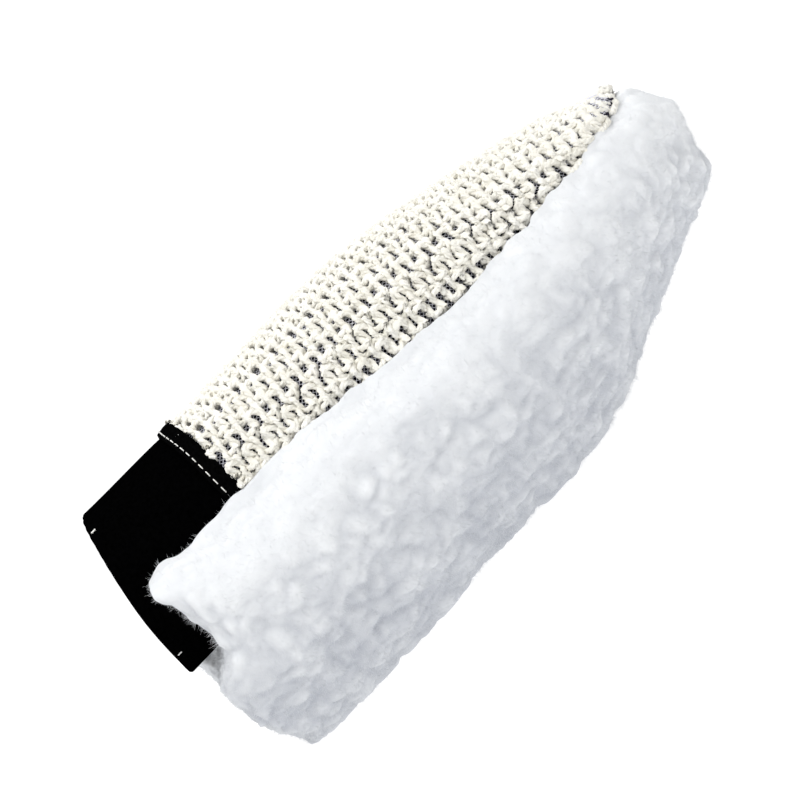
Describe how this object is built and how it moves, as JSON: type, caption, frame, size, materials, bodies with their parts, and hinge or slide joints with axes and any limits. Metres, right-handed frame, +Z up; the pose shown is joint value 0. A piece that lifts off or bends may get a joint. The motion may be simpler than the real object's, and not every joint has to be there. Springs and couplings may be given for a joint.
{
  "type": "wash mitt",
  "caption": "Padded hand mitt for washing a car: long white fleece palm, coarse cream knit net back over a dark lining, and a black elastic cuff open for the hand.",
  "frame": {"origin": "bottom centre of the mitt's box, on the surface it lies on, under the middle of its length", "axes": "+Y runs along the mitt from the cuff mouth to the tip, +X across it, +Z up out of the knit back"},
  "size_m": [0.1566, 0.2729, 0.1207],
  "materials": {
    "black_binding": "rolled black binding",
    "black_cuff": "matte black knitted cuff fabric",
    "black_lining": "matte black woven lining",
    "cream_yarn": "matte cotton-like yarn, hand-knit in heavy loops",
    "elastic": "covered flat elastic",
    "seam_tape": "narrow black seam tape",
    "white_backing": "knitted fleece backing",
    "white_fleece": "soft long white pile in rounded tufts",
    "white_net": "fine white net",
    "white_thread": "white sewing thread"
  },
  "bodies": {
    "root": {"knit_mesh_panel": "cream_yarn", "netting_underlay": "white_net", "back_lining": "black_lining", "palm_lining": "black_lining", "fleece_backing": "white_backing", "fleece_pile": "white_fleece", "perimeter_seam_tape": "seam_tape", "perimeter_seam_thread": "white_thread", "cuff_outer": "black_cuff", "cuff_lining": "black_lining", "cuff_elastic": "elastic", "cuff_binding": "black_binding", "binding_topstitch": "white_thread", "bartacks": "white_thread"}
  },
  "joints": []
}
